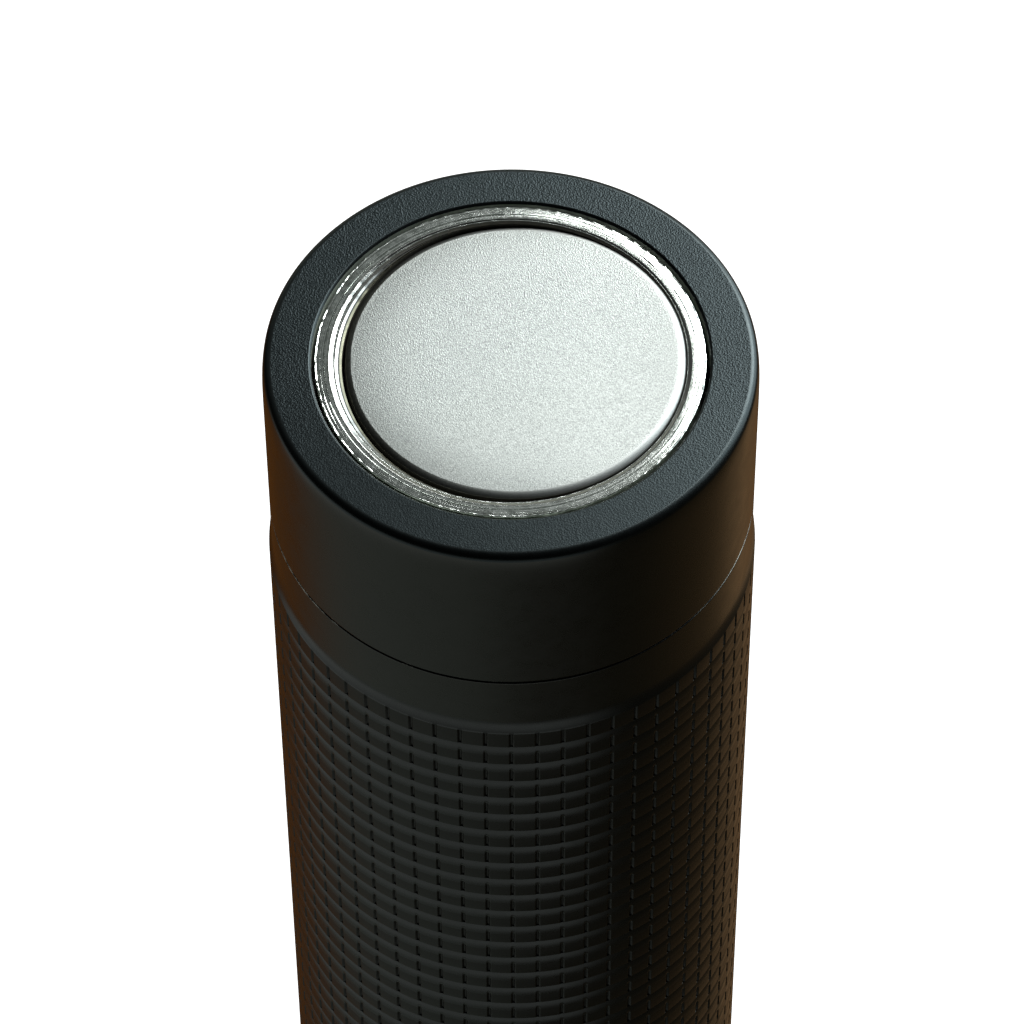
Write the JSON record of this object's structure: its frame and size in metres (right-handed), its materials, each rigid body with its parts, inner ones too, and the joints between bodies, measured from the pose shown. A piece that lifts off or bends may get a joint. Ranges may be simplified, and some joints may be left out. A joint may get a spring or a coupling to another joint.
{
  "type": "zoom flashlight",
  "caption": "Black push-pull zoom flashlight with a magnet in its screw-on tail cap, a ringed and slotted grip, a side switch and a sliding lens head.",
  "frame": {"origin": "centre of the bezel's front rim, which the light stands on", "axes": "+Z runs along the light from the bezel to the tail; -Y is the side with the switch"},
  "size_m": [0.033, 0.033, 0.13],
  "materials": {
    "black_anodise": "black anodise over a fine bead-blasted surface, satin",
    "bare_steel": "turned bare metal with concentric marks",
    "nickel": "satin blasted nickel plating",
    "circuit_board": "green solder mask",
    "spring_gold": "gold-plated spring wire",
    "seal_rubber": "black nitrile",
    "sleeve_plastic": "off-white moulded plastic",
    "cell_wrap": "blue shrink wrap",
    "cell_steel": "nickel-plated steel can",
    "cell_core": null,
    "white_paper": "white insulating paper",
    "dark_steel": "blackened steel",
    "chip_black": "moulded component bodies",
    "button_rubber": "matte black silicone",
    "switch_steel": "satin stainless",
    "plunger_plastic": "ivory plastic",
    "bare_aluminium": "turned bare aluminium",
    "led_white": "white solder mask and plastic",
    "led_phosphor": "yellow phosphor on a ceramic base",
    "led_silicone": "clear silicone dome",
    "wire_red": "red silicone insulation",
    "wire_black": "black silicone insulation",
    "wire_yellow": "yellow insulation",
    "lens_glass": "clear polished lens"
  },
  "bodies": {
    "zoom_head": {"zoom_head": "black_anodise", "guide_screw": "dark_steel", "lens": "lens_glass", "lens_gasket": "seal_rubber", "bezel": "black_anodise"},
    "body": {"battery_tube": "black_anodise", "battery_sleeve": "sleeve_plastic", "cell_wrap": "cell_wrap", "cell_can": "cell_steel", "cell_roll": "cell_core", "cell_insulator": "white_paper", "cell_top_cap": "cell_steel", "tail_o_ring": "seal_rubber", "driver_retainer": "dark_steel", "driver_spring": "spring_gold", "driver_board": "circuit_board", "driver_parts": "chip_black", "switch_ring": "switch_steel", "tact_switch": "chip_black", "switch_board": "circuit_board", "switch_holder": "sleeve_plastic", "switch_wires": "wire_yellow", "led_pill": "bare_aluminium", "led_board": "led_white", "led_spacer": "led_white", "led_emitter": "led_phosphor", "led_dome": "led_silicone", "led_screws": "switch_steel", "led_wire_red": "wire_red", "led_wire_black": "wire_black", "zoom_o_ring_front": "seal_rubber", "zoom_o_ring_rear": "seal_rubber"},
    "tail_contact": {"tail_board": "circuit_board", "tail_spring": "spring_gold"},
    "tail_cap": {"tail_cap": "black_anodise", "magnet_cup": "bare_steel", "tail_magnet": "nickel", "tail_snap_ring": "dark_steel"},
    "switch_button": {"switch_button": "button_rubber", "button_o_ring": "seal_rubber", "tact_plunger": "plunger_plastic"}
  },
  "joints": [
    {"name": "zoom_slide", "type": "slide", "parent": "zoom_head", "child": "body", "axis": [0, 0, 1], "range_m": [0, 0.012]},
    {"name": "switch_press", "type": "slide", "parent": "body", "child": "switch_button", "axis": [0, 1, 0], "range_m": [0, 0.0005], "stiffness_N_per_m": 3000},
    {"name": "tail_cap_lift", "type": "slide", "parent": "body", "child": "tail_contact", "axis": [0, 0, 1], "range_m": [0, 0.004]},
    {"name": "tail_cap_turn", "type": "hinge", "parent": "tail_contact", "child": "tail_cap", "pos_m": [0, 0, 0.12], "axis": [0, 0, 1], "range_deg": [0, 1440]}
  ],
  "couplings": [
    {"joint": "tail_cap_turn", "follows": "tail_cap_lift", "rad_per_m": 6283.2}
  ]
}
